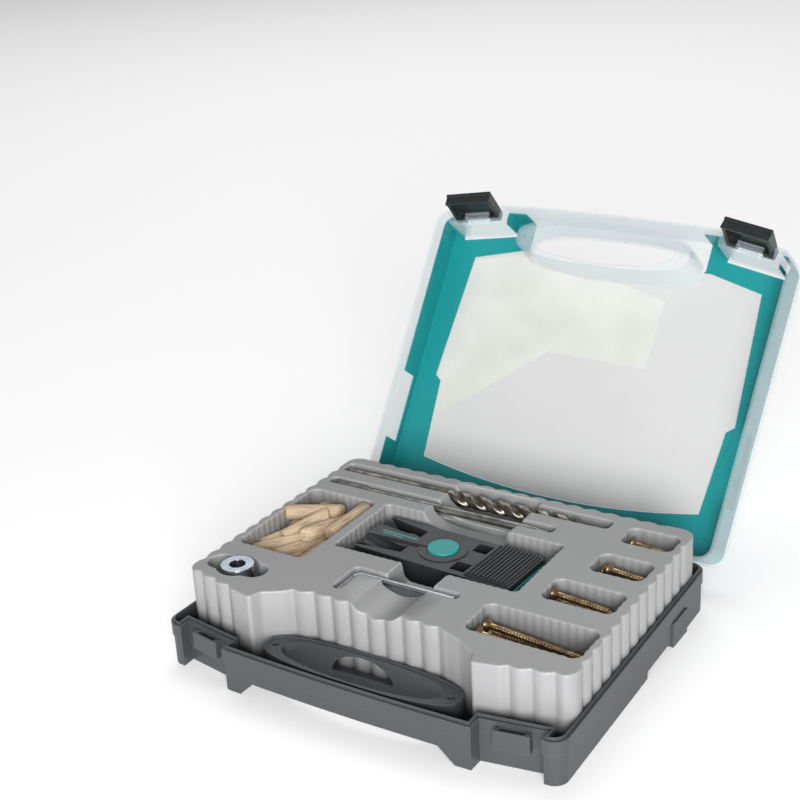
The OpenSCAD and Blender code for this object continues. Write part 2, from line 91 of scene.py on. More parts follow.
def moulded_skin_group():
    """Fine spark-eroded grain of a moulding, with slow changes of tone and gloss over its face."""
    tree, ins, outs = new_group("moulded skin", "ShaderNodeTree", [
        ("Colour", COLOUR, (0.5, 0.5, 0.5, 1)), ("Grain Size", FLOAT, 0.5), ("Grain Depth", FLOAT, 0.2),
        ("Roughness", FLOAT, 0.45), ("Mottle", FLOAT, 0.05)],
        [("Colour", COLOUR), ("Roughness", FLOAT), ("Normal", VECTOR)])
    place = add(tree, "ShaderNodeTexCoord").outputs["Object"]
    scale = add(tree, "ShaderNodeMath", {0: 1000.0, 1: ins["Grain Size"]}, operation="DIVIDE").outputs[0]
    grain = add(tree, "ShaderNodeTexNoise", {"Vector": place, "Scale": scale, "Detail": 3.0}).outputs["Fac"]
    slow = add(tree, "ShaderNodeTexNoise", {"Vector": place, "Scale": 28.0, "Detail": 4.0}).outputs["Fac"]
    shift = add(tree, "ShaderNodeMath", {0: slow, 1: -0.5}, operation="ADD").outputs[0]
    amount = add(tree, "ShaderNodeMath", {0: shift, 1: ins["Mottle"]}, operation="MULTIPLY").outputs[0]
    gain = add(tree, "ShaderNodeMath", {0: amount, 1: 3.0, 2: 1.0}, operation="MULTIPLY_ADD").outputs[0]
    colour = add(tree, "ShaderNodeVectorMath", {0: ins["Colour"], "Scale": gain},
                 operation="SCALE").outputs[0]
    rough = add(tree, "ShaderNodeMath", {0: amount, 1: 1.5, 2: ins["Roughness"]},
                operation="MULTIPLY_ADD").outputs[0]
    bump = add(tree, "ShaderNodeBump", {"Strength": ins["Grain Depth"], "Distance": 0.0002, "Height": grain})
    tree.links.new(colour, outs["Colour"])
    tree.links.new(rough, outs["Roughness"])
    tree.links.new(bump.outputs[0], outs["Normal"])
    return tree


def wear_and_highlight_edge_group():
    """Lightens outside edges: partly wear, where handling rubs a moulding pale, and partly a painted
    highlight, where light catches the rounded edge.
    """
    tree, ins, outs = new_group("pale edges, wear and painted highlight", "ShaderNodeTree", [
        ("Colour", COLOUR, (0.5, 0.5, 0.5, 1)), ("Edge Colour", COLOUR, (0.8, 0.8, 0.8, 1)),
        ("Width", FLOAT, 0.0006), ("Amount", FLOAT, 1.0)], [("Colour", COLOUR)])
    # The bevel mask pales the rounded edges: rubbed wear plus a painted highlight.
    soft = add(tree, "ShaderNodeBevel", {"Radius": ins["Width"]}, samples=4).outputs[0]
    true = add(tree, "ShaderNodeNewGeometry").outputs["Normal"]
    dot = add(tree, "ShaderNodeVectorMath", {0: soft, 1: true}, operation="DOT_PRODUCT").outputs["Value"]
    away = add(tree, "ShaderNodeMath", {0: 1.0, 1: dot}, operation="SUBTRACT").outputs[0]
    mask = add(tree, "ShaderNodeMath", {0: away, 1: ins["Amount"]}, operation="MULTIPLY",
               use_clamp=True).outputs[0]
    mix = add(tree, "ShaderNodeMix", {0: mask, 6: ins["Colour"], 7: ins["Edge Colour"]}, data_type="RGBA")
    tree.links.new(mix.outputs[2], outs["Colour"])
    return tree


def drawn_metal_group():
    """Fine lines left along a bar by drawing or grinding; Stretch squeezes the pattern across them."""
    tree, ins, outs = new_group("drawn metal", "ShaderNodeTree", [
        ("Colour", COLOUR, (0.8, 0.8, 0.8, 1)), ("Second Colour", COLOUR, (0.8, 0.8, 0.8, 1)),
        ("Stretch", VECTOR, (60, 3000, 3000)), ("Roughness", FLOAT, 0.2), ("Lines", FLOAT, 0.3)],
        [("Colour", COLOUR), ("Roughness", FLOAT), ("Normal", VECTOR)])
    place = add(tree, "ShaderNodeTexCoord").outputs["Object"]
    drawn = add(tree, "ShaderNodeVectorMath", {0: place, 1: ins["Stretch"]}, operation="MULTIPLY").outputs[0]
    lines = add(tree, "ShaderNodeTexNoise", {"Vector": drawn, "Scale": 1.0, "Detail": 3.0}).outputs["Fac"]
    cloud = add(tree, "ShaderNodeTexNoise", {"Vector": place, "Scale": 160.0, "Detail": 3.0}).outputs["Fac"]
    spread = add(tree, "ShaderNodeMapRange", {0: cloud, 1: 0.35, 2: 0.65}).outputs[0]
    mix = add(tree, "ShaderNodeMix", {0: spread, 6: ins["Colour"], 7: ins["Second Colour"]}, data_type="RGBA")
    swing = add(tree, "ShaderNodeMath", {0: lines, 1: ins["Lines"]}, operation="MULTIPLY").outputs[0]
    rough = add(tree, "ShaderNodeMath", {0: swing, 1: ins["Roughness"]}, operation="ADD").outputs[0]
    bump = add(tree, "ShaderNodeBump", {"Strength": ins["Lines"], "Distance": 0.00008, "Height": lines})
    tree.links.new(mix.outputs[2], outs["Colour"])
    tree.links.new(rough, outs["Roughness"])
    tree.links.new(bump.outputs[0], outs["Normal"])
    return tree


MOULDED = moulded_skin_group()
WEAR_AND_HIGHLIGHT = wear_and_highlight_edge_group()
DRAWN = drawn_metal_group()


def bare(name, **sockets):
    material = bpy.data.materials.new(name)
    material.use_nodes = True
    tree = material.node_tree
    shader = tree.nodes["Principled BSDF"]
    for key, value in sockets.items():
        shader.inputs[key.replace("_", " ")].default_value = value
    return material, tree, shader


def plastic(name, colour, grain=0.5, depth=0.2, rough=0.45, mottle=0.05, edge=None, edge_amount=1.0,
            edge_width=0.0006, **sockets):
    """A moulded plastic; edge is the paler tone of its edges, partly rubbed wear and partly painted
    highlight, edge_width in metres.
    """
    material, tree, shader = bare(name, **sockets)
    skin = add(tree, "ShaderNodeGroup", node_tree=MOULDED)
    for key, value in (("Colour", colour), ("Grain Size", grain), ("Grain Depth", depth),
                       ("Roughness", rough), ("Mottle", mottle)):
        skin.inputs[key].default_value = value
    out = skin.outputs["Colour"]
    if edge:
        # Paler edges: wear plus a painted highlight where light catches the rounding.
        wear_and_highlight = add(tree, "ShaderNodeGroup", node_tree=WEAR_AND_HIGHLIGHT)
        wear_and_highlight.inputs["Edge Colour"].default_value = edge
        wear_and_highlight.inputs["Amount"].default_value = edge_amount
        wear_and_highlight.inputs["Width"].default_value = edge_width
        tree.links.new(out, wear_and_highlight.inputs["Colour"])
        out = wear_and_highlight.outputs["Colour"]
    tree.links.new(out, shader.inputs["Base Color"])
    tree.links.new(skin.outputs["Roughness"], shader.inputs["Roughness"])
    tree.links.new(skin.outputs["Normal"], shader.inputs["Normal"])
    return material


def metal(name, colour, second, stretch=(60, 3000, 3000), rough=0.15, lines=0.25, **sockets):
    material, tree, shader = bare(name, Metallic=1.0, **sockets)
    skin = add(tree, "ShaderNodeGroup", node_tree=DRAWN)
    for key, value in (("Colour", colour), ("Second Colour", second), ("Stretch", stretch),
                       ("Roughness", rough), ("Lines", lines)):
        skin.inputs[key].default_value = value
    tree.links.new(skin.outputs["Colour"], shader.inputs["Base Color"])
    tree.links.new(skin.outputs["Roughness"], shader.inputs["Roughness"])
    tree.links.new(skin.outputs["Normal"], shader.inputs["Normal"])
    return material


def beech(name):
    """Turned beech: long fibres and short dark flecks along each dowel, with its own tone per dowel."""
    material, tree, shader = bare(name, Specular_IOR_Level=0.3)
    along = add(tree, "ShaderNodeUVMap", uv_map="UVMap").outputs["UV"]
    fibre_way = add(tree, "ShaderNodeMapping", {"Vector": along, "Scale": (3.0, 26.0, 1.0)}).outputs[0]
    fibres = add(tree, "ShaderNodeTexNoise",
                 {"Vector": fibre_way, "Scale": 1.0, "Detail": 6.0}).outputs["Fac"]
    fleck_way = add(tree, "ShaderNodeMapping", {"Vector": along, "Scale": (22.0, 60.0, 1.0)}).outputs[0]
    flecks = add(tree, "ShaderNodeTexNoise",
                 {"Vector": fleck_way, "Scale": 1.0, "Detail": 2.0}).outputs["Fac"]
    ramp = add(tree, "ShaderNodeValToRGB", {0: fibres})
    ramp.color_ramp.elements[0].position, ramp.color_ramp.elements[0].color = 0.3, tone(172, 146, 116)
    ramp.color_ramp.elements[1].position, ramp.color_ramp.elements[1].color = 0.62, tone(212, 191, 162)
    dark = add(tree, "ShaderNodeMapRange", {0: flecks, 1: 0.62, 2: 0.78, 3: 1.0, 4: 0.84}).outputs[0]
    own = add(tree, "ShaderNodeAttribute", attribute_name="own_tone").outputs["Fac"]
    gain = add(tree, "ShaderNodeMapRange", {0: own, 3: 0.82, 4: 1.12}).outputs[0]
    both = add(tree, "ShaderNodeMath", {0: dark, 1: gain}, operation="MULTIPLY").outputs[0]
    colour = add(tree, "ShaderNodeVectorMath", {0: ramp.outputs[0], "Scale": both},
                 operation="SCALE").outputs[0]
    rough = add(tree, "ShaderNodeMapRange", {0: fibres, 3: 0.55, 4: 0.75}).outputs[0]
    bump = add(tree, "ShaderNodeBump", {"Strength": 0.35, "Distance": 0.0003, "Height": fibres})
    tree.links.new(colour, shader.inputs["Base Color"])
    tree.links.new(rough, shader.inputs["Roughness"])
    tree.links.new(bump.outputs[0], shader.inputs["Normal"])
    return material


case_grey = plastic("case plastic", tone(63, 64, 66), 0.6, 0.25, 0.42, 0.06, tone(104, 106, 108), 1.6)
clear_lid = plastic("frosted lid plastic", tone(190, 204, 209), 1.2, 0.1, 0.2, 0.04, tone(150, 176, 184), 1.6)
liner_teal = plastic("teal lining", tone(22, 132, 134), 0.8, 0.12, 0.34, 0.05, tone(60, 170, 170), 1.2)
label_grey = plastic("grey label film", tone(190, 190, 190), 2.0, 0.03, 0.5, 0.02)
print_pale = plastic("pale print", tone(196, 197, 192), 1.6, 0.03, 0.45, 0.12)
latch_black = plastic("latch plastic", tone(30, 34, 34), 0.5, 0.12, 0.26, 0.06, tone(84, 90, 90), 1.6)
# The tray's near-white edge tone is strong and 1.3 mm wide: a painted highlight along its rounded lips.
tray_grey = plastic("formed tray", tone(143, 143, 144), 1.4, 0.08, 0.33, 0.03, tone(236, 236, 236), 2.4,
                    edge_width=0.0013)
jig_grey = plastic("jig plastic", tone(46, 47, 49), 0.45, 0.3, 0.42, 0.07, tone(82, 84, 88), 1.4)
rib_grey = plastic("grip rubber", tone(54, 55, 58), 0.4, 0.35, 0.55, 0.06, tone(88, 90, 94), 1.4)
jig_teal = plastic("teal moulding", tone(26, 140, 136), 0.5, 0.2, 0.38, 0.05, tone(80, 180, 172), 1.2)
button_teal = plastic("teal button", tone(28, 150, 148), 0.5, 0.2, 0.35, 0.04, tone(96, 190, 184), 1.2)
steel = metal("pin steel", tone(196, 198, 200), tone(176, 178, 182))
bright_zinc = metal("bright zinc", tone(206, 212, 220), tone(178, 188, 202), (900, 900, 900), 0.18, 0.15)
key_chrome = metal("key chrome", tone(214, 216, 218), tone(190, 192, 196), (60, 2500, 2500), 0.08, 0.12)
drill_steel = metal("drill steel", tone(158, 152, 142), tone(96, 91, 84), (120, 2600, 2600), 0.2, 0.35)
bit_steel = metal("bit steel", tone(146, 145, 142), tone(104, 103, 100), (50, 3200, 3200), 0.24, 0.35)
socket_black = metal("blackened steel", tone(60, 60, 64), tone(44, 44, 48), (500, 500, 500), 0.3, 0.2)
gold_zinc = metal("yellow zinc", tone(192, 168, 126), tone(150, 122, 94), (700, 700, 700), 0.22, 0.15)
dowel_beech = beech("dowel beech")


def see_through(material, clear, edge_on):
    """Makes a sheet clear where it faces the eye and milky where it is seen edge on."""
    tree = material.node_tree
    facing = add(tree, "ShaderNodeLayerWeight", {"Blend": 0.35}).outputs["Facing"]
    alpha = add(tree, "ShaderNodeMapRange", {0: facing, 3: clear, 4: edge_on}).outputs[0]
    tree.links.new(alpha, tree.nodes["Principled BSDF"].inputs["Alpha"])


see_through(clear_lid, 0.1, 0.5)

# ---------------------------------------------------------------- mesh helpers


def smooth_mesh(bm, limit):
    """Smooth faces, with a sharp edge where two faces turn by more than limit degrees."""
    for face in bm.faces:
        face.smooth = True
    for edge in bm.edges:
        edge.smooth = edge.calc_face_angle(0.0) < math.radians(limit)


def settle(obj, body, slot, *replaced):
    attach(obj, body)
    if replaced:
        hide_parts(*replaced)
    return obj


def mesh_object(name, points, faces, material, limit=40, outward=True):
    """A mesh object from points in millimetres, its doubles merged and its faces turned outwards."""
    mesh = bpy.data.meshes.new(name)
    mesh.from_pydata([tuple(float(c) * MM for c in p) for p in points], [], [tuple(f) for f in faces])
    bm = bmesh.new()
    bm.from_mesh(mesh)
    bmesh.ops.remove_doubles(bm, verts=bm.verts, dist=1e-7)
    if outward:
        bmesh.ops.recalc_face_normals(bm, faces=bm.faces)
    smooth_mesh(bm, limit)
    bm.to_mesh(mesh)
    bm.free()
    obj = bpy.data.objects.new(name, mesh)
    bpy.context.scene.collection.objects.link(obj)
    if material:
        mesh.materials.append(material)
    return obj


def eased_copy(node, width, material, body, slot, limit=35):
    """A merged copy of a CAD node with its corners rounded by width, in its place."""
    source = nodes[node].data
    mesh = bpy.data.meshes.new(node + "_finish")
    mesh.from_pydata([v.co[:] for v in source.vertices], [], [p.vertices[:] for p in source.polygons])
    bm = bmesh.new()
    bm.from_mesh(mesh)
    bmesh.ops.remove_doubles(bm, verts=bm.verts, dist=2e-6)
    bmesh.ops.dissolve_limit(bm, angle_limit=math.radians(0.8), verts=bm.verts, edges=bm.edges)
    bmesh.ops.connect_verts_concave(bm, faces=bm.faces)
    smooth_mesh(bm, limit)
    bm.to_mesh(mesh)
    bm.free()
    obj = bpy.data.objects.new(node + "_finish", mesh)
    bpy.context.scene.collection.objects.link(obj)
    mesh.materials.append(material)
    bevel = obj.modifiers.new("eased corners", "BEVEL")
    bevel.width = width * MM
    bevel.segments = 2
    bevel.limit_method = "ANGLE"
    bevel.angle_limit = math.radians(limit)
    bevel.miter_outer = "MITER_ARC"
    weigh = obj.modifiers.new("level faces", "WEIGHTED_NORMAL")
    weigh.keep_sharp = True
    return settle(obj, body, slot, node)


def loft(name, rings, material=None, limit=40):
    """A closed skin through rings of equally many points, with flat ends."""
    count = len(rings[0])
    points = [p for ring in rings for p in ring]
    faces = [(k * count + j, k * count + (j + 1) % count,
              (k + 1) * count + (j + 1) % count, (k + 1) * count + j)
             for k in range(len(rings) - 1) for j in range(count)]
    faces += [tuple(range(count))[::-1], tuple((len(rings) - 1) * count + j for j in range(count))]
    return mesh_object(name, points, faces, material, limit)


def circle(radius, z, count=32):
    a = np.linspace(0, 2 * np.pi, count, endpoint=False)
    return np.column_stack([radius * np.cos(a), radius * np.sin(a), np.full(count, z)])


def applied(obj, name):
    """The plain mesh of an object with its modifiers, as a new object; the first one is removed."""
    graph = bpy.context.evaluated_depsgraph_get()
    mesh = bpy.data.meshes.new_from_object(obj.evaluated_get(graph), depsgraph=graph)
    mesh.name = name
    bpy.data.objects.remove(obj)
    made = bpy.data.objects.new(name, mesh)
    bpy.context.scene.collection.objects.link(made)
    return made


def nodes_modifier(obj, tree, **values):
    modifier = obj.modifiers.new(tree.name, "NODES")
    modifier.node_group = tree
    names = {item.name.replace(" ", "_"): item.identifier for item in tree.interface.items_tree
             if item.item_type == "SOCKET" and item.in_out == "INPUT"}
    for key, value in values.items():
        modifier[names[key]] = value


def place_tree():
    """Puts one shape on every point, turned by the point's own angles, with a random tone for each."""
    tree, ins, outs = new_group("laid out", "GeometryNodeTree", [
        ("Geometry", "NodeSocketGeometry", None), ("Shape", "NodeSocketObject", None),
        ("Seed", "NodeSocketInt", 3), ("Finish", "NodeSocketMaterial", None)],
        [("Geometry", "NodeSocketGeometry")])
    shape = add(tree, "GeometryNodeObjectInfo", {"Object": ins["Shape"]}).outputs["Geometry"]
    turn = add(tree, "GeometryNodeInputNamedAttribute", {"Name": "turn"}, data_type="FLOAT_VECTOR").outputs[0]
    angle = add(tree, "FunctionNodeEulerToRotation", {0: turn}).outputs[0]
    laid = add(tree, "GeometryNodeInstanceOnPoints",
               {"Points": ins["Geometry"], "Instance": shape, "Rotation": angle})
    number = add(tree, "FunctionNodeRandomValue", {"Seed": ins["Seed"]}, data_type="FLOAT").outputs[1]
    toned = add(tree, "GeometryNodeStoreNamedAttribute", {"Geometry": laid.outputs[0], "Name": "own_tone",
                "Value": number}, data_type="FLOAT", domain="INSTANCE").outputs[0]
    real = add(tree, "GeometryNodeRealizeInstances", {0: toned}).outputs[0]
    done = add(tree, "GeometryNodeSetMaterial", {"Geometry": real, "Material": ins["Finish"]}).outputs[0]
    tree.links.new(done, outs[0])
    return tree


def thread_tree():
    """Winds a ridge round a screw's core: Start and Length along the core, Radius, Pitch and Ridge height."""
    tree, ins, outs = new_group("screw thread", "GeometryNodeTree", [
        ("Geometry", "NodeSocketGeometry", None), ("Start", FLOAT, 0.0), ("Length", FLOAT, 0.02),
        ("Radius", FLOAT, 0.0015), ("Pitch", FLOAT, 0.002), ("Ridge", FLOAT, 0.0006),
        ("Finish", "NodeSocketMaterial", None)], [("Geometry", "NodeSocketGeometry")])
    turns = add(tree, "ShaderNodeMath", {0: ins["Length"], 1: ins["Pitch"]}, operation="DIVIDE").outputs[0]
    wire = add(tree, "GeometryNodeCurveSpiral", {
        "Resolution": 14, "Rotations": turns, "Start Radius": ins["Radius"],
        "End Radius": ins["Radius"], "Height": ins["Length"]}).outputs[0]
    tooth = add(tree, "GeometryNodeCurvePrimitiveCircle",
                {"Resolution": 4, "Radius": ins["Ridge"]}).outputs[0]
    ridge = add(tree, "GeometryNodeCurveToMesh",
                {"Curve": wire, "Profile Curve": tooth, "Fill Caps": True}).outputs[0]
    shift = add(tree, "ShaderNodeCombineXYZ", {"Z": ins["Start"]}).outputs[0]
    moved = add(tree, "GeometryNodeTransform", {"Geometry": ridge, "Translation": shift}).outputs[0]
    joined = add(tree, "GeometryNodeJoinGeometry", {0: moved})
    tree.links.new(ins["Geometry"], joined.inputs[0])
    real = add(tree, "GeometryNodeRealizeInstances", {0: joined.outputs[0]}).outputs[0]
    done = add(tree, "GeometryNodeSetMaterial", {"Geometry": real, "Material": ins["Finish"]}).outputs[0]
    tree.links.new(done, outs[0])
    return tree


def rib_tree():
    """A row of round-edged bars along X, each running along Y."""
    tree, ins, outs = new_group("rib row", "GeometryNodeTree", [
        ("Geometry", "NodeSocketGeometry", None), ("Count", "NodeSocketInt", 11), ("Spacing", FLOAT, 0.0025),
        ("Length", FLOAT, 0.038), ("Width", FLOAT, 0.0015), ("Height", FLOAT, 0.0016),
        ("Corner", FLOAT, 0.0004),
        ("Finish", "NodeSocketMaterial", None)], [("Geometry", "NodeSocketGeometry")])
    half = add(tree, "ShaderNodeMath", {0: ins["Length"], 1: 0.5}, operation="MULTIPLY").outputs[0]
    back = add(tree, "ShaderNodeMath", {0: ins["Length"], 1: -0.5}, operation="MULTIPLY").outputs[0]
    start = add(tree, "ShaderNodeCombineXYZ", {"Y": back}).outputs[0]
    end = add(tree, "ShaderNodeCombineXYZ", {"Y": half}).outputs[0]
    run = add(tree, "GeometryNodeCurvePrimitiveLine", {"Start": start, "End": end}).outputs[0]
    shape = add(tree, "GeometryNodeCurvePrimitiveQuadrilateral",
                {"Width": ins["Width"], "Height": ins["Height"]})
    soft = add(tree, "GeometryNodeFilletCurve",
               {"Curve": shape.outputs[0], "Radius": ins["Corner"], "Count": 3}, mode="POLY")
    bar = add(tree, "GeometryNodeCurveToMesh",
              {"Curve": run, "Profile Curve": soft.outputs[0], "Fill Caps": True})
    step = add(tree, "ShaderNodeCombineXYZ", {"X": ins["Spacing"]}).outputs[0]
    row = add(tree, "GeometryNodeMeshLine", {"Count": ins["Count"], "Offset": step}).outputs[0]
    laid = add(tree, "GeometryNodeInstanceOnPoints", {"Points": row, "Instance": bar.outputs[0]}).outputs[0]
    real = add(tree, "GeometryNodeRealizeInstances", {0: laid}).outputs[0]
    done = add(tree, "GeometryNodeSetMaterial", {"Geometry": real, "Material": ins["Finish"]}).outputs[0]
    tree.links.new(done, outs[0])
    return tree


PLACE = place_tree()
THREAD = thread_tree()
RIBS = rib_tree()


def laid_out(name, shape, spots, material, seed=3):
    """Copies of a shape at spots of (place, angles in degrees), made one plain mesh."""
    mesh = bpy.data.meshes.new(name)
    mesh.from_pydata([tuple(c * MM for c in place) for place, _ in spots], [], [])
    turn = mesh.attributes.new("turn", "FLOAT_VECTOR", "POINT")
    turn.data.foreach_set("vector", [math.radians(a) for _, angles in spots for a in angles])
    obj = bpy.data.objects.new(name, mesh)
    bpy.context.scene.collection.objects.link(obj)
    nodes_modifier(obj, PLACE, Shape=shape, Seed=seed, Finish=material)
    return applied(obj, name)


# ---------------------------------------------------------------- tray

TRAY_TOP = 54.5
LIP = 0.9            # radius of the lips round the tray and its pockets
FLAT = 0.3           # flat strip next to each lip
STEP = 0.85          # distance between points along an outline
SHEET = 0.8          # thickness of the formed sheet
DRAFT = 0.018        # how far a pocket wall leans in for each millimetre of depth
TROUGH = 5.8         # depth of the front finger channel outside the key's groove
WELL = 11.5          # depth of the finger channels next to the jig
HALF_CHANNEL = 15.5  # half width of the front finger channel
SEAT = 12            # radius of the collar's seat
WING = 7.8           # radius of the seat's two finger wings
WING_AT = 12.5       # distance of each wing from the seat's middle


def tray_height(x, y):
    """Height of the tray's top sheet: level, with finger channels to the front and the back."""
    trough = TROUGH * np.clip(1 - (x / HALF_CHANNEL) ** 2, 0, 1) ** 0.8
    well = WELL * np.clip(1 - np.abs(x / HALF_CHANNEL) ** 7, 0, 1) ** 0.6
    front = (trough + (well - trough) * ease(-38.5, -36, y)) * (y < 0)
    side = np.clip((x + 37) / 25, 0, 1)
    left = np.sqrt(np.clip(1 - (1 - side) ** 2, 0, 1))
    back = WELL * left * (1 - ease(18, 23, x)) * (1 - ease(89, 93.5, y)) * (y > 30)
    return TRAY_TOP - front - back


def rounded_loop(corners, flute=0.0, pitch=5.0):
    """Points round a polygon of (x, y, radius) corners, anticlockwise, and how far each is fluted."""
    count = len(corners)
    corner = [np.array(c[:2], float) for c in corners]
    cut = []
    for k in range(count):
        a, b, c = corner[k - 1], corner[k], corner[(k + 1) % count]
        u, v = (a - b) / np.linalg.norm(a - b), (c - b) / np.linalg.norm(c - b)
        half = math.acos(max(-1, min(1, float(u @ v)))) / 2
        cut.append((corners[k][2] / math.tan(half), u, v, half))
    points, depth = [], []
    for k in range(count):
        trim, u, v, half = cut[k]
        radius = corners[k][2]
        start, end = corner[k] + u * trim, corner[k] + v * trim
        middle = corner[k] + (u + v) / np.linalg.norm(u + v) * radius / math.sin(half)
        a0, a1 = (math.atan2(*(p - middle)[::-1]) for p in (start, end))
        sweep = (a1 - a0 + math.pi) % (2 * math.pi) - math.pi
        n = max(3, int(abs(sweep) * radius / STEP) + 1)
        for j in range(n):
            a = a0 + sweep * j / n
            points.append(middle + radius * np.array([math.cos(a), math.sin(a)]))
            depth.append(0.0)
        far = corner[(k + 1) % count] + cut[(k + 1) % count][1] * cut[(k + 1) % count][0]
        length = float(np.linalg.norm(far - end))
        steps = max(1, int(length / STEP))
        waves = int((length - 1) / pitch) if flute else 0
        for j in range(steps):
            t = j / steps
            points.append(end + (far - end) * t)
            wave = abs(math.sin(math.pi * waves * t)) if waves else 0.0
            depth.append(flute * math.sqrt(wave * wave + 0.02) if waves else 0.0)
    return np.array(points), np.array(depth)


def outward(points):
    """Unit outward direction at each point of an anticlockwise outline."""
    way = np.roll(points, -1, 0) - np.roll(points, 1, 0)
    way /= np.maximum(np.linalg.norm(way, axis=1), 1e-9)[:, None]
    return np.column_stack([way[:, 1], -way[:, 0]])


def box_corners(x0, x1, y0, y1, r):
    return [(x1, y1, r), (x0, y1, r), (x0, y0, r), (x1, y0, r)]


def tray_outline():
    """The tray's scalloped outline: shallow round bulges with narrow valleys between them."""
    right = [(123.5, 98, 9), (126.3, -76.3, 8), (72.4, -88, 2.2), (69.5, -80, 5), (57, -72.5, 14),
             (45, -68, 22)]
    corners = [(-x, y, r) for x, y, r in right] + right[::-1]
    plain, _ = rounded_loop(corners)
    n = outward(plain)
    x, y = plain[:, 0], plain[:, 1]
    ax = np.abs(x)

    def bulges(phase, low, high, where):
        window = ease(low, low + 0.12, phase) * (1 - ease(high - 0.12, high, phase))
        wave = np.abs(np.sin(np.pi * phase))
        return np.where(where & (phase > low) & (phase < high), window * (1 - np.sqrt(wave ** 2 + 0.006)), 0)
    dent = 2.3 * bulges((x + 54) / 11.75, -0.5, 8.5, (y < -66) & (y > -80) & (ax < 68))
    dent += 2.2 * bulges((ax - 92) / 12, -0.5, 2.5, y < -72)
    dent += 2.0 * bulges((y + 62) / 12.5, -0.4, 11.6, ax > 115)
    dent += 2.0 * bulges((x + 100) / 12.5, -0.4, 16.4, y > 90)
    return plain - n * dent[:, None], plain


def collar_loop():
    """A round seat with two finger wings."""
    a = np.linspace(0, 2 * np.pi, 150, endpoint=False)
    s, c = np.abs(np.sin(a)), np.abs(np.cos(a))
    reach = np.clip(WING ** 2 - (WING_AT * s) ** 2, 0, None)
    end = WING_AT * c + np.sqrt(reach)
    side = WING / np.maximum(s, 1e-6)
    wing = np.where(side * c < WING_AT, side, end)
    r = (SEAT + wing + np.sqrt((SEAT - wing) ** 2 + 2.2)) / 2
    r = np.where(wing < 9, SEAT, r)
    return np.column_stack([-101 + r * np.cos(a), -61 + r * np.sin(a)])


POCKETS = [  # outline corners, floor height, flute depth
    (box_corners(-120, -71.5, -36.5, 45.5, 6), 20, 0.55),
    (box_corners(-64.5, 60.6, -14, 47.5, 4), 20, 0.5),
    (box_corners(-119.5, 74, 77.5, 88.5, 3.5), 42.5, 0),
    (box_corners(-118, 46, 58.3, 66.3, 3), 45.5, 0),
    (box_corners(86.3, 119, 66.3, 86.7, 6), 43.3, 0.45),
    (box_corners(84.3, 118, 27.5, 50, 6), 40.5, 0.45),
    (box_corners(73.5, 118, -12.5, 11.5, 6), 37, 0.5),
    (box_corners(52, 121.3, -60.5, -30.5, 6), 34, 0.55),
    ([(34, -30, 2.6), (-37, -30, 2.6), (-37, -56, 2.6), (-31, -56, 2.6), (-31, -36, 1.6),
      (34, -36, 2.6)], 49.5, 0),
]


def inside(loop, px, py):
    """Which points lie inside a closed outline."""
    hit = np.zeros(len(px), bool)
    x0, y0 = loop[:, 0], loop[:, 1]
    x1, y1 = np.roll(x0, -1), np.roll(y0, -1)
    for a, b, c, d in zip(x0, y0, x1, y1):
        cross = (b > py) != (d > py)
        if b != d:
            hit ^= cross & (px < (c - a) * (py - b) / (d - b) + a)
    return hit


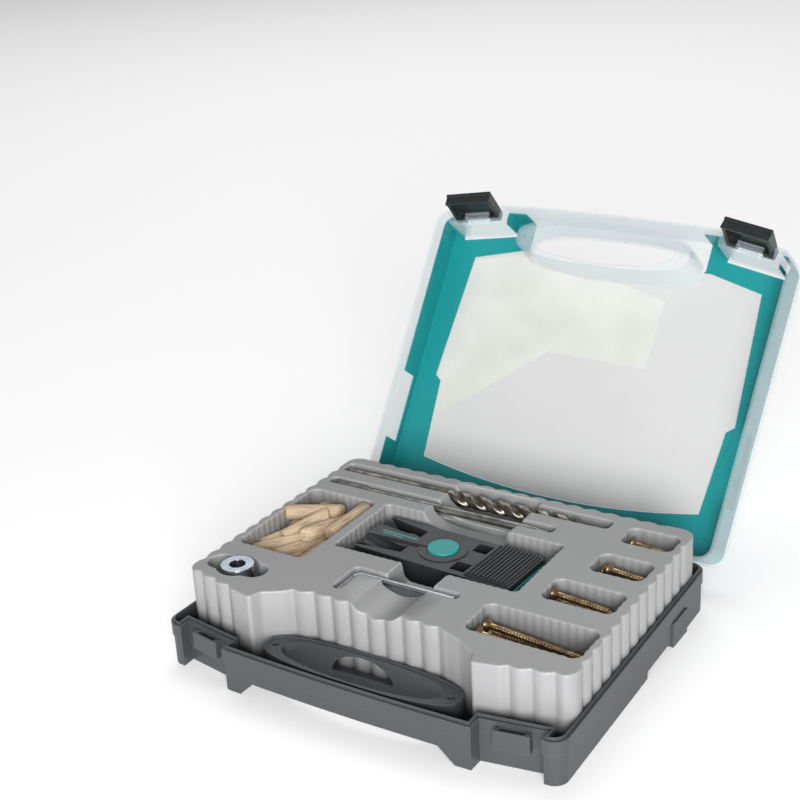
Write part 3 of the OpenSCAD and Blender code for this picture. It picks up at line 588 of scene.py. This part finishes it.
def tray_sheet():
    """The formed sheet: top, lips, fluted walls and pocket floors as one skin, then its thickness."""
    points, faces = [], []

    def put(ring, heights):
        first = len(points)
        points.extend(np.column_stack([ring, heights]))
        return list(range(first, len(points)))

    def strip(a, b, flip):
        n = len(a)
        for j in range(n):
            quad = (a[j], a[(j + 1) % n], b[(j + 1) % n], b[j])
            faces.append(quad[::-1] if flip else quad)

    loops = []
    rim, rim_plain = tray_outline()
    loops.append((rim, rim_plain, 3.0, -1))
    for corners, floor, flute in POCKETS:
        plain, depth = rounded_loop(corners, flute)
        loops.append((plain - outward(plain) * depth[:, None], plain, floor, 1))
    seat = collar_loop()
    loops.append((seat, seat, 43.0, 1))

    flats = []
    for wall, plain, floor, side in loops:
        n = outward(wall) * side
        held = wall + n * (LIP + FLAT)
        top = tray_height(held[:, 0], held[:, 1])
        low = np.minimum(floor, top - 0.5)
        deep = top - low
        lip = np.minimum(LIP, 0.4 * deep)
        flats.append(put(held, top))
        flip = side > 0
        last = flats[-1]
        for angle in (0, 22.5, 45, 67.5, 90):
            a = math.radians(angle)
            ring = put(wall + n * (lip * (1 - math.sin(a)))[:, None], top - lip * (1 - math.cos(a)))
            strip(last, ring, flip)
            last = ring
        if side < 0:
            for height in (28.0, 3.0):
                ring = put(wall, np.full(len(wall), height))
                strip(last, ring, flip)
                last = ring
            continue
        inner = outward(plain) * -1
        soft = np.minimum(1.6, 0.4 * deep)
        draft = DRAFT * deep
        for t in (0.5, 1.0):
            ring = put(wall + inner * (draft * t)[:, None], top - lip - (deep - lip - soft) * t)
            strip(last, ring, flip)
            last = ring
        for angle in (30, 60, 90):
            a = math.radians(angle)
            blend = math.sin(a)
            base = wall * (1 - blend) + plain * blend
            ring = put(base + inner * (draft + soft * (1 - math.cos(a)))[:, None],
                       low + soft * (1 - math.sin(a)))
            strip(last, ring, flip)
            last = ring
        faces.append(tuple(last))

    flat_points = [Vector(points[k][:2]) for loop in flats for k in loop]
    index = [k for loop in flats for k in loop]
    edges, start = [], 0
    for loop in flats:
        n = len(loop)
        edges += [(start + j, start + (j + 1) % n) for j in range(n)]
        start += n
    grid = [(x, y) for x in np.arange(-40, 26, 1.6) for y in np.arange(48.5, 97, 1.6)]
    grid += [(x, y) for x in np.arange(-16, 16.5, 1.0) for y in np.arange(-68, -13, 0.9)]
    gx, gy = np.array(grid).T
    rings = [np.array([points[k][:2] for k in loop]) for loop in flats]
    clear = inside(rings[0], gx, gy)
    for ring in rings[1:]:
        clear &= ~inside(ring, gx, gy)
    for ring in rings:
        gap = np.min((ring[:, 0][:, None] - gx) ** 2 + (ring[:, 1][:, None] - gy) ** 2, axis=0)
        clear &= gap > 0.5
    inner_points = [Vector((x, y)) for x, y, ok in zip(gx, gy, clear) if ok]
    made, _, tris, origin, _, _ = delaunay_2d_cdt(flat_points + inner_points, edges, [], 0, 1e-7)
    number = []
    for k, p in enumerate(made):
        old = [i for i in origin[k] if i < len(index)]
        if old:
            number.append(index[old[0]])
        else:
            number.append(len(points))
            points.append(np.array([p.x, p.y, float(tray_height(np.array(p.x), np.array(p.y)))]))
    centre = np.array([[sum(made[i][c] for i in t) / 3 for c in (0, 1)] for t in tris])
    keep = inside(rings[0], centre[:, 0], centre[:, 1])
    for ring in rings[1:]:
        keep &= ~inside(ring, centre[:, 0], centre[:, 1])
    for t, ok in zip(tris, keep):
        if ok:
            a, b, c = (made[i] for i in t)
            up = (b - a).cross(c - a) > 0
            tri = tuple(number[i] for i in t)
            faces.append(tri if up else tri[::-1])
    tray = mesh_object("tray_sheet", points, faces, tray_grey, limit=50)
    mesh = tray.data
    top = max(mesh.polygons, key=lambda p: p.center.z)
    if top.normal.z < 0:
        mesh.flip_normals()
    wall = tray.modifiers.new("sheet thickness", "SOLIDIFY")
    wall.thickness = SHEET * MM
    wall.offset = -1
    return settle(tray, "case", "tray", "storage_tray")


tray_sheet()

# ---------------------------------------------------------------- case

eased_copy("case_base", 0.45, case_grey, "case", "shell")
eased_copy("case_lid", 0.4, clear_lid, "lid", "clear")
eased_copy("lid_liner", 0.25, liner_teal, "lid", "liner")
eased_copy("label_sheet", 0.15, label_grey, "lid", "label")
for side in ("left", "right"):
    eased_copy("latch_" + side, 0.4, latch_black, side + "_latch", "latch")
    for pin in ("hinge_pin_", "latch_pin_"):
        nodes[pin + side].data.materials.clear()
        nodes[pin + side].data.materials.append(steel)

HINGE = (109.5, 27.3)
LID_OPEN = math.radians(127)


def with_open_lid(points):
    """Points given on the closed lid, moved to where the open lid holds them."""
    c, s = math.cos(LID_OPEN), math.sin(LID_OPEN)
    out = []
    for x, y, z in points:
        dy, dz = y - HINGE[0], z - HINGE[1]
        out.append((x, HINGE[0] + dy * c + dz * s, HINGE[1] - dy * s + dz * c))
    return out


def label_print():
    """The paler area that hangs in the label's upper corner."""
    shape = [(-106.3, -72), (-70, -81.5), (-60, -75), (-48, -72), (-20, -69.5), (11.8, -68.5),
             (43.5, -60.3), (42.1, -12.2), (-31.1, -13.1), (-104.6, 48.2), (-105.2, 21), (-110.2, 16)]
    n = len(shape)
    low = with_open_lid([(x, y, 56.72) for x, y in shape])
    high = with_open_lid([(x, y, 56.79) for x, y in shape])
    faces = [tuple(range(n)), tuple(range(n, 2 * n))[::-1]]
    faces += [(k, (k + 1) % n, n + (k + 1) % n, n + k) for k in range(n)]
    return settle(mesh_object("label_print", low + high, faces, print_pale), "lid", "label")


label_print()

# ---------------------------------------------------------------- jig

JIG_AT = Matrix.Translation((-4 * MM, 19 * MM, 20.4 * MM)) @ Matrix.Rotation(math.radians(-3), 4, "Z")

eased_copy("jig_body", 0.5, jig_grey, "jig", "jig")
eased_copy("jig_base", 0.5, jig_grey, "jig", "jig")
eased_copy("jig_stop", 0.4, jig_teal, "stop", "teal")
eased_copy("jig_button", 0.6, button_teal, "button", "teal")
eased_copy("guide_bushes", 0.3, steel, "jig", "bush")
eased_copy("jig_screws", 0.15, bright_zinc, "jig", "jig_screw")
nodes["button_spring"].data.materials.clear()
nodes["button_spring"].data.materials.append(steel)


def grip():
    """The ribbed thumb rest: a base plate with eleven round-edged ribs."""
    plate = rounded_loop(box_corners(24.2, 53.8, -19.8, 19.8, 1.2))[0]
    inner = plate - outward(plate) * 0.4
    rings = [np.column_stack([plate, np.full(len(plate), z)]) for z in (27.7, 29.1)]
    rings.append(np.column_stack([inner, np.full(len(plate), 29.5)]))
    base = loft("grip_plate", rings, rib_grey, 50)
    mesh = bpy.data.meshes.new("ribs")
    ribs = bpy.data.objects.new("ribs", mesh)
    bpy.context.scene.collection.objects.link(ribs)
    nodes_modifier(ribs, RIBS, Count=11, Spacing=28 / 11 * MM, Length=38.4 * MM, Width=1.4 * MM,
                   Height=1.7 * MM, Corner=0.45 * MM, Finish=rib_grey)
    ribs = applied(ribs, "grip_ribs")
    ribs.data.transform(Matrix.Translation((26.27 * MM, 0, 29.95 * MM)))
    for piece in (base, ribs):
        piece.data.transform(JIG_AT)
        settle(piece, "jig", "grip", *(["grip_pad"] if piece is base else []))


grip()


def jig_mark():
    """Two plain teal bars printed on the wedge between the drill troughs."""
    for name, x0, x1, y0, y1 in (("mark_long", -48, -22, -0.1, 1.3), ("mark_short", -46, -31, -2.4, -1.4)):
        loop = rounded_loop(box_corners(x0, x1, y0, y1, 0.5))[0]
        rings = [np.column_stack([loop, np.full(len(loop), z)]) for z in (30.05, 30.16)]
        piece = loft(name, rings, jig_teal)
        piece.data.transform(JIG_AT)
        settle(piece, "jig", "teal")


jig_mark()

# ---------------------------------------------------------------- tools

eased_copy("stop_collar", 0.5, bright_zinc, "collar", "collar")
eased_copy("collar_screw", 0.15, socket_black, "collar", "collar_screw")
eased_copy("hex_key", 0.18, key_chrome, "key", "key", 25)


def drill():
    """A stepped twist drill: round shank, two wide flutes, a thin pilot and its point."""
    rings = []
    count = 48
    a = np.linspace(0, 2 * np.pi, count, endpoint=False)

    def section(x, radius, flute, turn):
        wave = np.abs(np.sin(a - turn))
        r = radius * (1 - flute * (1 - ease(0.15, 0.75, wave)) * 0.62)
        return np.column_stack([np.full(count, x), 83 + r * np.cos(a), 49 + r * np.sin(a)])
    for x, r in ((-117, 3.6), (-116.4, 4.2), (-41, 4.2), (-40.2, 4.75)):
        rings.append(section(x, r, 0, 0))
    for x in np.arange(-39.5, 51.6, 0.9):
        rings.append(section(x, 4.75, ease(-39.5, -34, x), 2 * math.pi * x / 27))
    for x in np.arange(52.2, 69.2, 0.8):
        radius = 4.75 - 2.75 * ease(51.5, 53.4, x)
        rings.append(section(x, radius, 1.0, 2 * math.pi * x / 27))
    rings += [section(70, 1.1, 0.5, 2 * math.pi * 70 / 27), section(71, 0.15, 0, 0)]
    settle(loft("twist_drill", rings, drill_steel, 38), "drill", "drill", "step_drill")


def bit():
    """A long driver bit: hexagonal end with its catch groove, round shank and square tip."""
    rings = []
    count = 36
    a = np.linspace(0, 2 * np.pi, count, endpoint=False)
    flat = 3.175 / np.cos((a + math.pi / 6) % (math.pi / 3) - math.pi / 6)
    square = 1.55 / np.maximum(np.abs(np.cos(a)), np.abs(np.sin(a)))

    def section(x, radii):
        return np.column_stack([np.full(count, x), 62.3 + radii * np.cos(a), 50.6 + radii * np.sin(a)])
    rings.append(section(-115, flat * 0.86))
    rings.append(section(-114.3, flat))
    for x, k in ((-107.6, 1), (-107, 0.86), (-105.6, 0.86), (-105, 1), (-90.5, 1)):
        rings.append(section(x, np.minimum(flat * k, 3.6 * k)))
    rings.append(section(-89, np.full(count, 2.6)))
    for x, r in ((33, 2.6), (34.5, 2.2)):
        rings.append(section(x, np.full(count, r)))
    rings += [section(36.5, np.minimum(square, 1.9)), section(41.2, np.minimum(square, 1.9) * 0.96),
              section(42, square * 0.5)]
    settle(loft("long_bit", rings, bit_steel, 30), "bit", "bit", "driver_bit")


drill()
bit()

# ---------------------------------------------------------------- dowels and screws


def dowel_shape(slant):
    """A fluted dowel along Z with softened ends; slant tips one end face."""
    length, radius, count = 38, 5.0, 48
    a = np.linspace(0, 2 * np.pi, count, endpoint=False)
    fluted = radius - 0.28 * np.abs(np.sin(a * 9)) ** 3
    rings, rows = [], [(0, 0.02), (0, 0.82), (0.9, 1.0), (12, 1), (26, 1), (37.1, 1), (38, 0.82), (38, 0.02)]
    for z, k in rows:
        r = fluted * k if k == 1 else np.full(count, radius * k)
        tilt = slant * r * np.cos(a) * ease(20, 38, z)
        height = z - length / 2 + tilt - slant * 5 * (z > 30)
        rings.append(np.column_stack([r * np.cos(a), r * np.sin(a), height]))
    obj = loft("dowel_shape", rings, dowel_beech, 42)
    layer = obj.data.uv_layers.new(name="UVMap")
    for polygon in obj.data.polygons:
        for k in polygon.loop_indices:
            p = obj.data.vertices[obj.data.loops[k].vertex_index].co / MM
            end = abs(polygon.normal.z) > 0.8
            layer.data[k].uv = (p.x / 9 + 3, p.y / 40) if end else (p.z / 38, math.atan2(p.y, p.x) / math.tau)
    return obj


def dowels():
    """The heap in the tray: two level layers, and loose ones across the top."""
    level = [((-112.3 + 10.8 * x, y, 25.3), (90, 0, 0)) for x in range(4) for y in (-15, 25)]
    level += [((-96, -26 + 12.5 * k, 35.6), (90, 0, 6 * k - 99)) for k in range(4)]
    heap = [(-91, 12, 46.5, 90, -13), (-101.5, 11, 47.5, 68, 8), (-79.8, 25, 48.5, 86, 2),
            (-105, 25, 49.5, 32, -3), (-105.5, -11.5, 43.5, 50, 3), (-111, 1, 42, 66, 2),
            (-94, -8, 42, 74, -5), (-88.5, 26, 43, 70, 4), (-83, -16, 40, 82, 3),
            (-102, -24, 38, 24, 5), (-112, 31, 42, 82, 3)]
    tossed = [((x, y, z), (90 - tilt, 0, turn + 90)) for x, y, z, turn, tilt in heap]
    square, sloped = dowel_shape(0.0), dowel_shape(0.55)
    plain = laid_out("dowels_square", square, level + tossed[0::2], dowel_beech, 5)
    cut = laid_out("dowels_sloped", sloped, tossed[1::2], dowel_beech, 9)
    for shape in (square, sloped):
        bpy.data.objects.remove(shape)
    settle(plain, "case", "dowel", "dowels")
    settle(cut, "case", "dowel")


def screw_shape(length, diameter):
    """A countersunk screw along Z with a cross recess, a plain neck and a wound thread."""
    core = diameter * 0.36
    count = 24
    head = diameter
    rows = [(0.94 * head, 0.0), (head, 0.25), (head * 0.98, 0.5),
            (core * 1.15, diameter * 0.62), (core * 1.15, diameter * 1.3), (core, diameter * 1.5),
            (core, length - diameter * 1.1), (0.05, length)]
    a = np.linspace(0, 2 * np.pi, count, endpoint=False)
    cross = 0.22 * head + 0.36 * head * np.clip(np.cos(4 * a), 0, 1) ** 1.5
    rings = [np.column_stack([cross * k * np.cos(a), cross * k * np.sin(a), np.full(count, z)])
             for k, z in ((0.35, diameter * 0.42), (0.85, diameter * 0.2), (1, 0.0))]
    rings += [circle(r, z, count) for r, z in rows]
    obj = loft("screw_shape", rings, gold_zinc, 40)
    start = diameter * 1.4
    nodes_modifier(obj, THREAD, Start=start * MM, Length=(length - start - diameter * 0.7) * MM,
                   Radius=core * MM, Pitch=diameter * 0.42 * MM, Ridge=diameter * 0.15 * MM,
                   Finish=gold_zinc)
    return applied(obj, "screw_shape")


def screws():
    """The four sizes of wood screws, heads to the left."""
    def lying(x, y, z, dip, turn=0.0):
        return (x, y, z), (0, 90 + dip, turn)
    groups = [
        ("screws_short", 25, 4, [lying(90, 79.5, 47.5, 3, -4), lying(90, 71, 47.5, 3, 3)]),
        ("screws_medium", 27, 4.5, [lying(87, 44.5, 45.2, 3), lying(87, 35, 45.2, 3),
                                    lying(92.5, 39.75, 50.1, 5)]),
        ("screws_long", 38, 4.5, [lying(76, 6.5, 41.7, 2), lying(76, -3, 41.7, 2),
                                  lying(76, 1.75, 49.6, 5)]),
        ("screws_extra_long", 64, 4.5, [lying(56, -36, 38.7, 2), lying(56, -45.5, 38.7, 2),
                                        lying(56, -55, 38.7, 2), lying(56, -40.75, 46.6, 5),
                                        lying(56, -50.25, 46.6, 5)]),
    ]
    for node, length, diameter, spots in groups:
        shape = screw_shape(length, diameter)
        piece = laid_out(node + "_finish", shape, spots, gold_zinc)
        bpy.data.objects.remove(shape)
        settle(piece, "case", "screw", node)


dowels()
screws()

# ---------------------------------------------------------------- studio


def studio():
    floor = mesh_object("floor", [(-6000, -4000, 0), (6000, -4000, 0), (6000, 9000, 0), (-6000, 9000, 0)],
                        [(0, 1, 2, 3)], None, outward=False)
    floor.data.materials.append(plastic("studio floor", tone(246, 246, 246), 4.0, 0.0, 0.7, 0.004,
                                        Emission_Color=(1, 1, 1, 1), Emission_Strength=0.22))
    world = bpy.data.worlds.new("studio air")
    bpy.context.scene.world = world
    world.use_nodes = True
    world.node_tree.nodes["Background"].inputs[0].default_value = (1, 1, 1, 1)
    world.node_tree.nodes["Background"].inputs[1].default_value = 0.26
    for name, place, aim, size, power in (
            ("front box", (1.1, -1.8, 0.6), (0, 0, 0.05), 1.2, 77),
            ("top box", (-0.9, 1.6, 2.4), (0, 0.4, 0), 2.4, 34)):
        data = bpy.data.lights.new(name, "AREA")
        data.energy, data.size = power, size
        lamp = bpy.data.objects.new(name, data)
        lamp.location = place
        lamp.rotation_mode = "QUATERNION"
        lamp.rotation_quaternion = (Vector(aim) - Vector(place)).to_track_quat("-Z", "Y")
        bpy.context.scene.collection.objects.link(lamp)
    bpy.context.scene.view_settings.view_transform = "Standard"


def camera():
    yaw, pitch, roll = math.radians(33.31), math.radians(22.54), math.radians(-3.19)
    ahead = Vector((-math.sin(yaw) * math.cos(pitch), math.cos(yaw) * math.cos(pitch), -math.sin(pitch)))
    level = Vector((math.cos(yaw), math.sin(yaw), 0))
    above = level.cross(ahead)
    right = level * math.cos(roll) + above * math.sin(roll)
    up = above * math.cos(roll) - level * math.sin(roll)
    data = bpy.data.cameras.new("camera")
    data.lens, data.sensor_width = 66.52, 36
    eye = bpy.data.objects.new("camera", data)
    eye.matrix_world = Matrix.Translation(Vector((408.4, -651.36, 475.34)) * MM) @ Matrix(
        (right, up, -ahead)).transposed().to_4x4()
    bpy.context.scene.collection.objects.link(eye)
    bpy.context.scene.camera = eye


studio()
camera()
